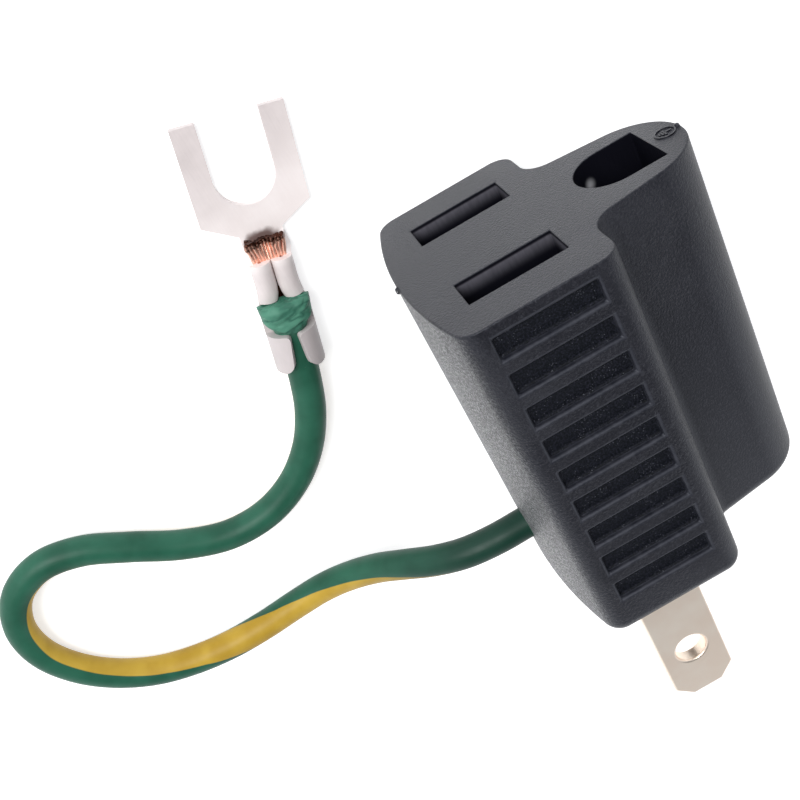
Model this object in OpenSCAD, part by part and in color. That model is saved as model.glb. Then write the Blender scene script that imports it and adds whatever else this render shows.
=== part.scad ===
// Grounding plug adapter: a three-hole socket body with two flat blades and an earth lead that ends in a fork
// It lies on one ribbed face. X runs from the wire end to the earth lobe, Y out of the socket face, Z is up.
// The origin is on the rest face, on the blade line, half way up the body. Sizes are in millimetres.

/* [Body moulding] */
// Height of the body from the plug face to the socket face
body_h = 34; // [33:0.5:42]
// Thickness of the body between its two ribbed faces
body_t = 24.8; // [24.6:0.2:30]
// Distance from the blade line to the crown of the wire end
end_x = 7.9; // [7.7:0.1:10]
// Radius of the gentle bulge of the wire end
end_curve_r = 45; // [30:1:80]
// Distance from the blade line to the side of the block beside the lobe
block_x = 6.8; // [6.6:0.1:7.6]
// Radius of the upright corners of the block
corner_r = 1.8; // [1.7:0.1:2.4]
// Radius of the rounded edge round the plug face
foot_r = 1.5; // [0.6:0.1:1.8]
// Wall of the moulding around the inner carrier
side_wall = 1.6; // [1.5:0.05:1.8]
// Thickness of the moulding in front of the carrier
face_wall = 4; // [3:0.1:5]
// Thickness of the moulding under the carrier's base
foot_wall = 2; // [1.9:0.1:3]

/* [Earth lobe] */
// Distance from the blade line to the tip of the lobe
lobe_tip_x = 18.1; // [17.9:0.1:20]
// Radius of the lobe's rounded tip
lobe_r = 5.5; // [5.3:0.1:6]
// Angle at which each side of the lobe widens towards the block
lobe_taper = 9.5; // [4:0.5:12]
// Radius of the hollow neck between block and lobe
neck_r = 2.3; // [1:0.1:3]

/* [Grip] */
// Number of sunk pockets on each ribbed face
grip_count = 9; // [4:1:9]
// Spacing of the pockets
grip_pitch = 3.35; // [2.6:0.05:3.5]
// Distance from the socket face to the first pocket
grip_top = 1.2; // [0.8:0.1:1.4]
// Height of one pocket
pocket_h = 1.85; // [1.2:0.05:2.2]
// Length of one pocket
pocket_len = 8.7; // [6:0.1:9.4]
// Depth of a pocket
pocket_depth = 0.6; // [0.3:0.05:0.8]

/* [Socket openings] */
// Distance between the two blade slots, and between the two blades
slot_pitch = 12.7; // [12.6:0.05:12.8]
// Length of a slot in the socket face
slot_len = 8.4; // [7.2:0.1:8.8]
// Width of a slot in the socket face
slot_w = 3.8; // [2.6:0.1:3.9]
// Length of the slot in the carrier behind it
inner_slot_len = 7; // [6.8:0.1:7.2]
// Width of the slot in the carrier behind it
inner_slot_w = 2.4; // [2:0.1:2.6]
// Distance from the blade line to the axis of the earth pin
earth_x = 11.9; // [11.8:0.05:12]
// Width of the U shaped earth hole
earth_hole_w = 6.6; // [5.6:0.1:6.8]
// Distance from the earth axis to the flat end of the hole
earth_flat = 3.3; // [2.8:0.1:3.4]
// Radius of the round pin guide in the carrier
earth_guide_r = 2.6; // [2.5:0.05:2.65]

/* [Blades] */
// Width of a blade
blade_w = 6.35; // [6:0.05:6.5]
// Thickness of a blade
blade_t = 1.5; // [1.4:0.05:1.6]
// Length of a blade outside the body
blade_len = 18; // [15.9:0.1:18.3]
// Radius of the hole through a blade
blade_hole_r = 1.6; // [1.4:0.05:1.8]
// Distance from the plug face to the blade hole
blade_hole_y = 11.9; // [11:0.1:12.2]
// Cut of the corners at a blade's tip
tip_cut = 1.6; // [0.8:0.1:2.2]
// Bevel of a blade's long edges
edge_bevel = 0.25; // [0.1:0.05:0.4]
// Length of a blade inside the body
tang_len = 10; // [9.6:0.1:11]
// Width of the shoulders that lock a blade in
shoulder_w = 8; // [7.4:0.1:8.4]

/* [Carrier and contacts] */
// Thickness of the carrier's front wall
front_wall = 1.5; // [1.2:0.1:1.8]
// Thickness of the carrier's base plate
base_t = 2.5; // [2:0.1:2.6]
// Length of a contact chamber along the slot
chamber_len = 9; // [8.8:0.1:9.2]
// Width of a contact chamber across the slot
chamber_w = 5.4; // [5:0.1:5.6]
// Thickness of the contact sheet
sheet_t = 0.4; // [0.3:0.05:0.5]
// Width of a jaw contact
jaw_w = 6; // [5:0.1:6.6]
// Length of the jaws from their lips to the middle of the bend that joins them
jaw_len = 9.3; // [8:0.1:10]
// Free gap between the jaws of a contact
jaw_gap = 1.2; // [1:0.05:1.3]
// Width of the tail that is riveted to the blade
tail_w = 4; // [3.6:0.1:4.6]
// Radius of a rivet
rivet_r = 1; // [0.8:0.05:1.1]
// Inner radius of the sprung earth sleeve
sleeve_r = 2.4; // [2.35:0.05:2.5]
// Length of the earth sleeve
sleeve_len = 12; // [9:0.5:13]

/* [Earth lead] */
// Outer diameter of the insulated lead
wire_d = 3; // [2.6:0.1:3]
// Radius of one copper strand
strand_r = 0.32; // [0.26:0.01:0.33]
// Height of the lead's exit above the plug face
exit_h = 6.2; // [6.1:0.1:8]

/* [Fork terminal] */
// Width of the fork
fork_w = 9.8; // [8.6:0.1:11]
// Gap between the prongs
fork_gap = 5.4; // [4.4:0.1:5.8]
// Length of the tongue from its neck to the prong tips
tongue_len = 10.4; // [9.6:0.1:13]
// Thickness of the stamped sheet
fork_t = 0.8; // [0.6:0.05:0.9]
// Metal left between the neck and the bottom of the gap
fork_web = 2.6; // [2:0.1:3.2]
// Width of the neck and of the conductor barrel
neck_w = 3.9; // [3.8:0.1:4.4]
// Length of bare strands in front of the conductor barrel
brush_len = 2.2; // [1.5:0.1:2.8]
// Length of the conductor barrel
barrel_len = 3.6; // [3:0.1:4.4]
// Length of the open window between the two crimps
window_len = 2.9; // [2:0.1:3.4]
// Length of the insulation crimp
grip_len = 3.7; // [3:0.1:4.4]

/* [Hidden] */

$fn = 48;
eps = 0.01;
play = 0.1;
slip = 0.05;
arc_steps = 5;
foot_overrun = 0.15;

mid_z = body_t / 2;
face_y = body_h / 2;
plug_y = -body_h / 2;
carrier_front = face_y - face_wall;
chamber_top = carrier_front - front_wall;
base_low = plug_y + foot_wall;
base_top = base_low + base_t;
lead_y = plug_y + exit_h;
wire_r = wire_d / 2;

// Blades and jaws, measured in Y and outwards from the middle of the blade
tip_taper = 1;
tang_top = plug_y + tang_len;
shoulder_h = 1.2;
rivet_drop = 2.6;
rivet_y = tang_top - rivet_drop;
rivet_head_r = rivet_r * 1.6;
rivet_head_t = 0.5;
tail_u = (blade_t + sheet_t) / 2;
tail_foot = 2.1;
jaw_drop = 0.7;
jaw_top = chamber_top - jaw_drop;
flare_play = 0.3;
flare_u = chamber_w / 2 - sheet_t - flare_play;
lip_drop = 1.3;
pinch_u = (jaw_gap + sheet_t) / 2;
pinch_drop = 3.2;
pinch_y = jaw_top - pinch_drop;
belly_in = 0.4;
belly_u = flare_u - belly_in;
belly_y = jaw_top - jaw_len;
belly_rise = 2.2;

// Earth contact
sleeve_top = chamber_top - play;
sleeve_low = sleeve_top - sleeve_len;
sleeve_out = sleeve_r + sheet_t;
chamber_r = sleeve_out + play;
earth_seam = 1.2;
tab_w = 2.6;
tab_x = earth_x + sheet_t / 2 + play - sqrt(pow(chamber_r, 2) - pow(tab_w / 2, 2));
crimp_in = strand_r * 3 + slip;
crimp_out = crimp_in + sheet_t;
crimp_back = 1.7;
crimp_front = 0.9;
crimp_x0 = earth_x - crimp_back;
crimp_x1 = earth_x + crimp_front;
tab_rise = 1.4;
tab_bend = 0.3;
strip_len = 0.6;
strip_back = crimp_x0 - strip_len;
strand_end = 0.4;

// Fork terminal, measured along the terminal from its neck
fork_x = -15.4;
fork_y = 22.5;
fork_angle = 76;
barrel_s = -brush_len;
window_s = barrel_s - barrel_len;
grip_s = window_s - window_len;
tail_s = grip_s - grip_len;
shoulder_s = 1.7;
fork_dir = [cos(fork_angle), sin(fork_angle), 0];
lead_z = fork_t + wire_r;
trough_r = wire_r + fork_t;
trough_lip = 0.2;
wing_seam = 0.7;
wing_round = 1;
bulge = 0.45;
bulge_r = wire_r + bulge;
brush_end = 0.3;
brush_stagger = 0.35;
strand_gap = 0.02;
strand_pitch = 2 * strand_r + strand_gap;
row_rise = strand_pitch * sqrt(3) / 2;
bundle_w = 3 * strand_pitch + 2 * strand_r;
bundle_h = row_rise + 2 * strand_r;
lobe_h = fork_t + bundle_h;

// Route of the free lead: out of the wire end, down to the floor, round the loop and back to the fork
ROUTE = [[-7.9, -10.8, 12.4], [-11, -10.8, 12.4], [-14.2, -10.9, 11.8], [-17.2, -11.2, 10.2],
    [-20, -11.6, 8], [-22.8, -12.2, 5.6], [-25.8, -12.9, 3.6], [-29, -13.6, 2.2], [-32.5, -14.2, 1.6],
    [-36.5, -14.6, 1.5], [-40.5, -14.6, 1.5], [-44.5, -14, 1.5], [-48.3, -12.7, 1.5], [-51.7, -10.4, 1.5],
    [-54.3, -7.3, 1.5], [-55.8, -3.6, 1.5], [-55.6, 0.2, 1.5], [-53.5, 3.5, 1.5], [-50, 5, 1.5],
    [-46.1, 4.3, 1.5], [-42.2, 2, 1.5], [-38, -0.8, 1.5], [-33.6, -2.6, 1.5], [-29.3, -2.6, 1.5],
    [-25.4, -1, 1.5], [-22.3, 1.8, 1.6], [-20.2, 5.2, 1.9], [-19, 8.4, 2.2]];
tube_sides = 8;

function arc(c, r, a0, a1, n) = [for (i = [0:n]) let (a = a0 + (a1 - a0) * i / n) c + r * [cos(a), sin(a)]];
function backwards(p) = [for (i = [len(p) - 1:-1:0]) p[i]];
function all_but_first(p) = [for (i = [1:len(p) - 1]) p[i]];
function unit(v) = v / norm(v);

// Half of the face outline, from the lobe tip to the crown of the wire end, drawn in by d
function half_outline(d) =
    let (half = body_t / 2 - d, side = block_x - d, er = end_curve_r - d, cr = max(corner_r - d, 0.1))
    let (ex = end_curve_r - end_x, tip_c = lobe_tip_x - lobe_r, lr = lobe_r - d, nr = neck_r + d)
    let (cx = ex - sqrt(pow(er - cr, 2) - pow(half - cr, 2)), turn = atan2(half - cr, cx - ex))
    let (nv = (lr + nr - (side + nr - tip_c) * sin(lobe_taper)) / cos(lobe_taper))
    concat(arc([tip_c, 0], lr, 0, 90 - lobe_taper, 2 * arc_steps),
        arc([side + nr, nv], nr, 270 - lobe_taper, 180, arc_steps),
        arc([side - cr, half - cr], cr, 0, 90, arc_steps),
        arc([cx, half - cr], cr, 90, turn, arc_steps),
        all_but_first(arc([ex, 0], er, turn, 180, arc_steps)));
function outline(d) =
    let (h = half_outline(d), n = len(h))
    concat(h, [for (i = [n - 2:-1:1]) [h[i].x, -h[i].y]]);

// Faces of a skin through equal rings of n points, closed at both ends
function skin_faces(n, rings) = concat([[for (i = [0:n - 1]) i]],
    [for (j = [0:rings - 2], i = [0:n - 1])
        [j * n + i, (j + 1) * n + i, (j + 1) * n + (i + 1) % n, j * n + (i + 1) % n]],
    [[for (i = [n - 1:-1:0]) (rings - 1) * n + i]]);

// Outline of a bent strip of sheet along the path p
function side_of(p, q) = unit([p.y - q.y, q.x - p.x]);
function mitre(p, i) =
    let (a = side_of(p[max(i - 1, 0)], p[max(i, 1)]), k = min(i, len(p) - 2), b = side_of(p[k], p[k + 1]))
    (a + b) / (1 + a * b);
function strip(p, t) = concat([for (i = [0:len(p) - 1]) p[i] + mitre(p, i) * t / 2],
    [for (i = [len(p) - 1:-1:0]) p[i] - mitre(p, i) * t / 2]);

module upright(y0, y1) translate([0, y1, mid_z]) rotate([90, 0, 0]) linear_extrude(y1 - y0) children();
module along_x(x0, x1) translate([x0, 0, 0]) rotate([90, 0, 90]) linear_extrude(x1 - x0) children();
module rod_x(x0, x1, r) translate([x0, 0, 0]) rotate([0, 90, 0]) cylinder(r = r, h = x1 - x0);
module at_lead() translate([0, lead_y, mid_z]) children();
module at_slot(side) translate([0, 0, mid_z + side * slot_pitch / 2])
    if (side > 0) children(); else mirror([0, 0, 1]) children();
module at_fork() translate([fork_x, fork_y, 0]) rotate([0, 0, fork_angle]) children();

// Outside of the moulding: the face outline carried down to the plug face, with the foot trimmed round
module envelope() intersection() {
    upright(plug_y, face_y) polygon(outline(0));
    foot_skin();
}

// Rings drawn in along a quarter circle at the foot; the first and last run on past the body to clear it
module foot_skin() {
    bend = [for (a = [0:22.5:90]) [1 - cos(a), 1 - sin(a)] * foot_r];
    above = bend[0] + (bend[0] - bend[1]) * foot_overrun;
    below = bend[4] + (bend[4] - bend[3]) * foot_overrun;
    rings = concat([[above.x, body_h + 1], above], [for (i = [1:3]) bend[i]], [below]);
    points = [for (r = rings) for (p = outline(r.x)) [p.x, plug_y + r.y, mid_z + p.y]];
    polyhedron(points, skin_faces(len(outline(0)), len(rings)));
}

module earth_hole() union() {
    translate([earth_x, 0]) circle(r = earth_hole_w / 2);
    translate([earth_x, -earth_hole_w / 2]) square([earth_flat, earth_hole_w]);
}

module grip_pockets() for (z = [0, body_t], i = [0:grip_count - 1])
    translate([0, face_y - grip_top - pocket_h / 2 - i * grip_pitch, z])
        cube([pocket_len, pocket_h, 2 * pocket_depth], center = true);

module blade_section(y0, y1) for (side = [-1, 1]) at_slot(side)
    translate([-blade_w / 2, y0, -blade_t / 2]) cube([blade_w, y1 - y0, blade_t]);

module body_moulding() color("#3b3b41") difference() {
    envelope();
    upright(base_low, carrier_front) polygon(outline(side_wall));
    for (side = [-1, 1]) at_slot(side)
        translate([-slot_len / 2, carrier_front - eps, -slot_w / 2]) cube([slot_len, face_wall + 1, slot_w]);
    upright(carrier_front - eps, face_y + 1) earth_hole();
    blade_section(plug_y - 1, base_low + eps);
    at_lead() rod_x(-end_x - 1, side_wall - end_x + 1, wire_r);
    grip_pockets();
}

module contact_carrier() color("#2a2b30") difference() {
    upright(base_top, carrier_front) polygon(outline(side_wall));
    for (side = [-1, 1]) at_slot(side) {
        translate([-chamber_len / 2, base_top - 1, -chamber_w / 2])
            cube([chamber_len, chamber_top - base_top + 1, chamber_w]);
        translate([-inner_slot_len / 2, 0, -inner_slot_w / 2])
            cube([inner_slot_len, carrier_front + 1, inner_slot_w]);
    }
    upright(base_top - 1, chamber_top) translate([earth_x, 0]) circle(r = chamber_r);
    upright(chamber_top - 1, carrier_front + 1) translate([earth_x, 0]) circle(r = earth_guide_r);
    at_lead() rod_x(-end_x, earth_x - chamber_r / 2, wire_r + play);
}

module carrier_base() color("#2a2b30") difference() {
    upright(base_low, base_top) polygon(outline(side_wall));
    blade_section(base_low - 1, base_top + 1);
}

// A blade in its own frame: X across, Y along, Z through its thickness
module blade() {
    tip_y = plug_y - blade_len;
    half = blade_w / 2;
    flat = half - edge_bevel;
    side = blade_t / 2 - edge_bevel;
    bevelled = [[-half, -side], [-flat, -blade_t / 2], [flat, -blade_t / 2], [half, -side],
        [half, side], [flat, blade_t / 2], [-flat, blade_t / 2], [-half, side]];
    difference() {
        union() {
            intersection() {
                translate([0, plug_y, 0]) rotate([90, 0, 0]) linear_extrude(blade_len) polygon(bevelled);
                translate([0, 0, -blade_t]) linear_extrude(2 * blade_t)
                    polygon([[-half, plug_y], [-half, tip_y + tip_cut], [tip_cut - half, tip_y],
                        [half - tip_cut, tip_y], [half, tip_y + tip_cut], [half, plug_y]]);
                along_x(-blade_w, blade_w) polygon([[plug_y, -blade_t / 2], [tip_y + tip_taper, -blade_t / 2],
                    [tip_y, -blade_t / 4], [tip_y, blade_t / 4], [tip_y + tip_taper, blade_t / 2],
                    [plug_y, blade_t / 2]]);
            }
            translate([-half, plug_y, -blade_t / 2]) cube([blade_w, tang_len, blade_t]);
            translate([-shoulder_w / 2, base_top, -blade_t / 2]) cube([shoulder_w, shoulder_h, blade_t]);
        }
        translate([0, plug_y - blade_hole_y, -blade_t]) cylinder(r = blade_hole_r, h = 2 * blade_t);
        translate([0, rivet_y, -blade_t]) cylinder(r = rivet_r, h = 2 * blade_t);
    }
}
module line_blade() color("#d6c9ba") at_slot(1) blade();
module neutral_blade() color("#d6c9ba") at_slot(-1) blade();

// A sprung jaw contact: one sheet bent to a U with flared lips, and a tail riveted to the blade
module jaw_contact() {
    lip = [[jaw_top, flare_u], [jaw_top - lip_drop, (flare_u + pinch_u) / 2], [pinch_y, pinch_u],
        [belly_y + belly_rise, belly_u]];
    bend = arc([belly_y, 0], belly_u, 90, 270, 8);
    jaws = concat(lip, bend, [for (p = backwards(lip)) [p.x, -p.y]]);
    tail = [[rivet_y - tail_foot, tail_u], [tang_top, tail_u], [belly_y, belly_u]];
    difference() {
        union() {
            along_x(-jaw_w / 2, jaw_w / 2) polygon(strip(jaws, sheet_t));
            along_x(-tail_w / 2, tail_w / 2) polygon(strip(tail, sheet_t));
        }
        translate([0, rivet_y, 0]) cylinder(r = rivet_r, h = blade_t * 2);
    }
}
module line_contact() color("#c9a45c") at_slot(1) jaw_contact();
module neutral_contact() color("#c9a45c") at_slot(-1) jaw_contact();

module contact_rivets() color("#b98f4a") for (side = [-1, 1]) at_slot(side) translate([0, rivet_y, 0]) {
    low = -blade_t / 2;
    high = blade_t / 2 + sheet_t;
    translate([0, 0, low - rivet_head_t]) cylinder(r = rivet_head_r, h = rivet_head_t);
    translate([0, 0, low - eps]) cylinder(r = rivet_r, h = high - low + 2 * eps);
    translate([0, 0, high]) cylinder(r = rivet_head_r, h = rivet_head_t);
}

// Rolled and slit earth sleeve with a tab that turns into the crimp for the lead
module earth_contact() color("#c9a45c") {
    slit_w = 0.7;
    difference() {
        upright(sleeve_low, sleeve_top) translate([earth_x, 0]) circle(r = sleeve_out);
        upright(sleeve_low - 1, sleeve_top + 1) translate([earth_x, 0]) circle(r = sleeve_r);
        translate([earth_x, sleeve_low - 1, mid_z - earth_seam / 2])
            cube([chamber_r, sleeve_len + 2, earth_seam]);
        translate([earth_x - slit_w / 2, sleeve_low + sleeve_len / 2, 0]) cube([slit_w, sleeve_len, body_t]);
    }
    tab_y = lead_y + crimp_out - sheet_t / 2;
    tab = [[sleeve_low + 1, tab_x], [tab_y + tab_rise, tab_x], [tab_y, crimp_x0 + tab_bend],
        [tab_y, crimp_x1]];
    translate([0, 0, mid_z - tab_w / 2]) linear_extrude(tab_w)
        polygon([for (p = strip(tab, sheet_t)) [p.y, p.x]]);
    at_lead() difference() {
        rod_x(crimp_x0, crimp_x1, crimp_out);
        rod_x(crimp_x0 - 1, crimp_x1 + 1, crimp_in);
    }
}

// Seven strands laid in a round bundle along X
module round_bundle(x0, x1) {
    rod_x(x0, x1, strand_r);
    for (a = [0:60:300]) translate([0, strand_pitch * cos(a), strand_pitch * sin(a)]) rod_x(x0, x1, strand_r);
}
module earth_strands() color("#c87a4a") at_lead() round_bundle(strip_back + play, crimp_x1 + strand_end);
module inner_lead() color("#2f7a5c") at_lead() rod_x(-end_x, strip_back, wire_r);

module earth_lead() color("#2f7a5c") {
    route = concat(ROUTE, [[fork_x, fork_y, lead_z] + fork_dir * tail_s]);
    last = len(route) - 1;
    heading = [for (i = [0:last])
        i == 0 ? [-1, 0, 0] : i == last ? fork_dir : unit(route[i + 1] - route[i - 1])];
    points = [for (i = [0:last]) let (s = unit(cross(heading[i], [0, 0, 1])), u = cross(s, heading[i]))
        for (k = [0:tube_sides - 1]) let (a = 360 * k / tube_sides)
            route[i] + wire_r * (cos(a) * u + sin(a) * s)];
    polyhedron(points, skin_faces(tube_sides, len(route)));
}

// Insulation inside the fork's rear crimp, squeezed up in the open window
module lead_end() color("#2f7a5c") at_fork() translate([0, 0, lead_z]) {
    swell = [[0, 0], [wire_r, 0], [bulge_r, window_len * 0.3], [bulge_r, window_len * 0.7],
        [wire_r, window_len - play], [0, window_len - play]];
    rod_x(tail_s, window_s - play, wire_r);
    difference() {
        translate([grip_s, 0, 0]) rotate([0, 90, 0]) rotate_extrude() polygon(swell);
        translate([grip_s - 1, -trough_r, trough_lip - 2 * trough_r])
            cube([window_len + 2, 2 * trough_r, 2 * trough_r]);
    }
}

// Sections of the terminal's barrels, drawn across the terminal with the floor at zero
module crimp_section() difference() {
    union() {
        translate([0, neck_w / 2]) intersection() {
            circle(r = neck_w / 2);
            translate([-neck_w / 2, -neck_w / 2]) square([neck_w, neck_w / 2]);
        }
        translate([-neck_w / 2, neck_w / 2 - eps]) square([neck_w, lobe_h - neck_w / 2 + 2 * eps]);
        for (s = [-1, 1]) translate([s * neck_w / 4, lobe_h]) circle(r = neck_w / 4);
    }
    translate([-bundle_w / 2 - slip, fork_t]) square([bundle_w + 2 * slip, bundle_h + slip]);
}
module trough_section(lip) translate([0, trough_r]) difference() {
    circle(r = trough_r);
    circle(r = wire_r);
    translate([-trough_r, lip]) square(2 * trough_r);
}
module wing_section() translate([0, trough_r]) difference() {
    circle(r = trough_r);
    circle(r = wire_r);
    translate([-wing_seam / 2, 0]) square([wing_seam, trough_r]);
}

module fork_terminal() color("#ddd3d0") at_fork() {
    gap_c = fork_web + fork_gap / 2;
    linear_extrude(fork_t) difference() {
        polygon([[0, -neck_w / 2], [shoulder_s, -fork_w / 2], [tongue_len, -fork_w / 2],
            [tongue_len, fork_w / 2], [shoulder_s, fork_w / 2], [0, neck_w / 2]]);
        translate([gap_c, 0]) circle(r = fork_gap / 2);
        translate([gap_c, -fork_gap / 2]) square([tongue_len, fork_gap]);
    }
    translate([barrel_s, -neck_w / 2, 0]) cube([brush_len, neck_w, fork_t]);
    along_x(window_s, barrel_s) crimp_section();
    along_x(grip_s, window_s) trough_section(trough_lip);
    intersection() {
        along_x(tail_s, grip_s) wing_section();
        linear_extrude(2 * trough_r) union() {
            translate([tail_s + wing_round, -trough_r]) square([grip_len, 2 * trough_r]);
            for (s = [-1, 1]) translate([tail_s + wing_round, s * (trough_r - wing_round)])
                circle(r = wing_round);
            translate([tail_s, wing_round - trough_r]) square([grip_len, 2 * (trough_r - wing_round)]);
        }
    }
}

// The same strands pressed flat under the barrel's two rolled wings
module fork_strands() color("#c87a4a") at_fork() for (row = [0, 1], i = [0:3 - row])
    translate([0, (i - (3 - row) / 2) * strand_pitch, fork_t + strand_r + row * row_rise])
        rod_x(window_s + play, -brush_end - brush_stagger * ((i + row) % 2), strand_r);

body_moulding();
contact_carrier();
carrier_base();
line_blade();
neutral_blade();
line_contact();
neutral_contact();
contact_rivets();
earth_contact();
earth_strands();
inner_lead();
earth_lead();
lead_end();
fork_terminal();
fork_strands();
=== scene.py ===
"""A grounding socket adapter: a black moulding, two plated blades, and an earth lead that ends in a crimped fork."""
import math

import bmesh
import bpy
from mathutils import Matrix, Quaternion, Vector, noise


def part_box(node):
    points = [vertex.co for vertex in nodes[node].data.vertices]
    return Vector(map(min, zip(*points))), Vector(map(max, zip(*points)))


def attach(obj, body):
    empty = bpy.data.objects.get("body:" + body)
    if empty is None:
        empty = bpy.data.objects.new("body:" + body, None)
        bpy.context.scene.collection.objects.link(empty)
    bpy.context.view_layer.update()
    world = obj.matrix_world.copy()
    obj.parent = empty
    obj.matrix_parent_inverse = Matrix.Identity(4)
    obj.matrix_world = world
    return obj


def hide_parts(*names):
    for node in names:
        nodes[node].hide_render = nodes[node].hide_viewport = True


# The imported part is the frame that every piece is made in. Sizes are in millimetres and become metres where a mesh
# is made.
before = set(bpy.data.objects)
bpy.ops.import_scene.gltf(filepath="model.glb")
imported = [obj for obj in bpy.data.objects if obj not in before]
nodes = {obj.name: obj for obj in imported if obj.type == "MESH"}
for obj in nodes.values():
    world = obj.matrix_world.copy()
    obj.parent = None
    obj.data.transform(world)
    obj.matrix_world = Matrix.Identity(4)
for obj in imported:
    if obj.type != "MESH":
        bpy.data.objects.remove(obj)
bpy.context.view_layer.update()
MM = 0.001


# The camera stands a hand's breadth above the socket face and is rolled far over, so that the adapter's face
# looks up to the left. The lens is the one that fits the blades, slots and faces seen in the picture.
eye = Vector((-11.07, 55.29, 89.4)) * MM
aim = Vector((-12.25, 7.75, 12.4)) * MM
camera_roll = math.radians(151.2)
camera = bpy.data.objects.new("camera", bpy.data.cameras.new("camera"))
bpy.context.scene.collection.objects.link(camera)
camera.data.sensor_width = 36
camera.data.lens = 48.15
camera.data.clip_start = 0.005
camera.location = eye
camera.rotation_mode = "QUATERNION"
camera.rotation_quaternion = (aim - eye).to_track_quat("-Z", "Y") @ Quaternion((0, 0, 1), camera_roll)
bpy.context.scene.camera = camera


# The earth lead is a limp insulated wire, green with one broad yellow stripe. It leaves the wire end low down,
# drops to the table, turns back in one open loop and ends in the fork. The stripe winds slowly round it.
LEAD_ROUTE = [
    (-0.0079, -0.0108, 0.0124), (-0.011, -0.0108, 0.0124), (-0.0142, -0.0109, 0.0118), (-0.0172, -0.0112, 0.0102),
    (-0.02, -0.0116, 0.008), (-0.0228, -0.0122, 0.0056), (-0.0258, -0.0129, 0.0036), (-0.029, -0.0136, 0.0022),
    (-0.0325, -0.0142, 0.0016), (-0.0365, -0.0146, 0.0015), (-0.0405, -0.0146, 0.0015), (-0.0445, -0.014, 0.0015),
    (-0.0483, -0.0127, 0.0015), (-0.0517, -0.0104, 0.0015), (-0.0543, -0.0073, 0.0015), (-0.0558, -0.0036, 0.0015),
    (-0.0556, 0.0002, 0.0015), (-0.0535, 0.0035, 0.0015), (-0.05, 0.005, 0.0015), (-0.0461, 0.0043, 0.0015),
    (-0.0422, 0.002, 0.0015), (-0.038, -0.0008, 0.0015), (-0.0336, -0.0026, 0.0015), (-0.0293, -0.0026, 0.0015),
    (-0.0254, -0.001, 0.0015), (-0.0223, 0.0018, 0.0016), (-0.0202, 0.0052, 0.0019), (-0.019, 0.0084, 0.0022),
]
lead_radius = 1.5
lead_sides = 36
fork_neck = Vector((-15.4, 22.5, 0))
fork_turn = math.radians(76)
fork_sheet = 0.8
fork_tail = -12.4
# Distance along the lead, and how far the middle of the stripe has turned from the top towards the outer side
STRIPE_TURN = [(0, 134), (6, 118), (10, 94), (15, 64), (21, 46), (26, 30), (30, 8), (33, -18), (36, -52), (39, -78),
               (43, -94), (48, -102), (56, -106), (64, -118), (80, -150), (109, -178)]
stripe_half = 0.2


def smooth_line(points, lead_in, lead_out, steps):
    """A line that runs smoothly through the points, headed lead_in at its start and lead_out at its end."""
    chain = [points[0] - lead_in, *points, points[-1] + lead_out]
    line = []
    for a, b, c, d in zip(chain, chain[1:], chain[2:], chain[3:]):
        ab, bc, cd = ((q - p).length ** 0.5 for p, q in ((a, b), (b, c), (c, d)))
        leave = c - b + bc * ((b - a) / ab - (c - a) / (ab + bc))
        arrive = c - b + bc * ((d - c) / cd - (d - b) / (bc + cd))
        for k in range(steps):
            t = k / steps
            line.append((2 * t**3 - 3 * t**2 + 1) * b + (t**3 - 2 * t**2 + t) * leave
                        + (3 * t**2 - 2 * t**3) * c + (t**3 - t**2) * arrive)
    return [*line, points[-1]]


def between(table, at, eased=True):
    """The value of a table of (place, value) at a place, eased or straight from row to row."""
    for (a, va), (b, vb) in zip(table, table[1:]):
        if at <= b:
            t = max(0.0, (at - a) / (b - a))
            return va + (vb - va) * (t * t * (3 - 2 * t) if eased else t)
    return table[-1][1]


def mesh_piece(name, points, faces, smooth=True):
    """A new piece from points in millimetres, with its faces turned outwards and its end caps kept crisp."""
    mesh = bpy.data.meshes.new(name)
    mesh.from_pydata([Vector(p) * MM for p in points], [], faces)
    work = bmesh.new()
    work.from_mesh(mesh)
    bmesh.ops.recalc_face_normals(work, faces=work.faces)
    for face in work.faces:
        face.smooth = smooth and len(face.verts) < 5
        if not face.smooth:
            for edge in face.edges:
                edge.smooth = False
    work.to_mesh(mesh)
    work.free()
    piece = bpy.data.objects.new(name, mesh)
    bpy.context.scene.collection.objects.link(piece)
    return piece


def skin(rings, closed=False):
    """Faces through equal rings of points, with both ends capped unless the rings close on themselves."""
    count, size = len(rings), len(rings[0])
    points = [p for ring in rings for p in ring]
    faces = [(j * size + i, j * size + (i + 1) % size, (j + 1) * size + (i + 1) % size, (j + 1) * size + i)
             for j in range(count - 1) for i in range(size)]
    if not closed:
        faces += [tuple(range(size)), tuple(range((count - 1) * size, count * size))]
    return points, faces


class Shade:
    """A value, colour or vector in a material; an operator on it adds the Math node that works it out."""

    def __init__(self, tree, socket=None):
        self.tree = tree
        self.socket = socket

    def node(self, kind, settings=None, sockets=None, out=0):
        """Any other node: its settings are set first, then the values or links of its sockets."""
        made = self.tree.nodes.new("ShaderNode" + kind)
        for key, value in (settings or {}).items():
            setattr(made, key, value)
        for key, value in (sockets or {}).items():
            if isinstance(value, Shade):
                self.tree.links.new(value.socket, made.inputs[key])
            else:
                made.inputs[key].default_value = value
        return Shade(self.tree, made.outputs[out])

    def maths(self, operation, a, b=0.0):
        return self.node("Math", {"operation": operation}, {0: a, 1: b})

    def __add__(self, other):
        return self.maths("ADD", self, other)

    def __sub__(self, other):
        return self.maths("SUBTRACT", self, other)

    def __rsub__(self, other):
        return self.maths("SUBTRACT", other, self)

    def __mul__(self, other):
        return self.maths("MULTIPLY", self, other)

    def __abs__(self):
        return self.maths("ABSOLUTE", self)

    __radd__ = __add__
    __rmul__ = __mul__


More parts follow.
